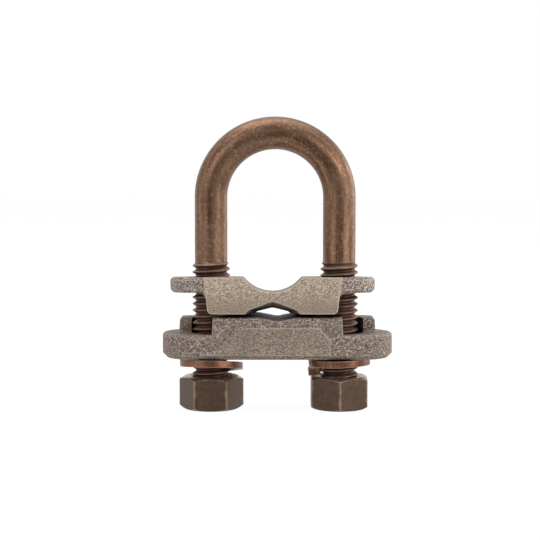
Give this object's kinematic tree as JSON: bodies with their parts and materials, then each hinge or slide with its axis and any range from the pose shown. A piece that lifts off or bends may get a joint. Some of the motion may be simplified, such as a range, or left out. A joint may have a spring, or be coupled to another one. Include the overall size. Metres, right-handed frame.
{
  "type": "earth rod clamp",
  "caption": "Bronze U-bolt clamp that holds an earthing conductor against a driven ground rod, drawn up by nuts over spring washers.",
  "frame": {"origin": "midway between the two leg holes of the base casting, at the height of the faces the clamp stands on (the undersides of the nuts)", "axes": "+X from the left leg to the right leg, +Y along the ground rod away from the front, +Z from the nuts towards the bend of the U-bolt"},
  "size_m": [0.0572, 0.0163, 0.0727],
  "materials": {
    "casting": "sand-cast bronze, dulled brown, front faces linished",
    "rod": "drawn silicon-bronze rod with rolled threads, satin, lightly tarnished",
    "nut": "hot-pressed silicon bronze, dark brown, worn pale on the corners",
    "washer": "coiled phosphor-bronze wire, copper red"
  },
  "bodies": {
    "base": {"base": "casting", "lock_washer_left": "washer", "lock_washer_right": "washer"},
    "u_bolt": {"u_bolt": "rod"},
    "saddle": {"saddle": "casting"},
    "nut_left": {"nut_left": "nut"},
    "nut_right": {"nut_right": "nut"}
  },
  "joints": [
    {"name": "u_bolt_travel", "type": "slide", "parent": "base", "child": "u_bolt", "axis": [0, 0, -1], "range_m": [0, 0.0119]},
    {"name": "nut_left_turn", "type": "hinge", "parent": "base", "child": "nut_left", "pos_m": [-0.01651, 0, 0], "axis": [0, 0, 1], "range_deg": [0, 2700]},
    {"name": "nut_right_turn", "type": "hinge", "parent": "base", "child": "nut_right", "pos_m": [0.01539, 0, 0], "axis": [0, 0, 1], "range_deg": [0, 2700]},
    {"name": "saddle_lift", "type": "slide", "parent": "base", "child": "saddle", "axis": [0, 0, 1], "range_m": [0, 0.007]}
  ],
  "couplings": [
    {"joint": "nut_left_turn", "follows": "u_bolt_travel", "rad_per_m": 3957.9},
    {"joint": "nut_right_turn", "follows": "u_bolt_travel", "rad_per_m": 3957.9}
  ]
}
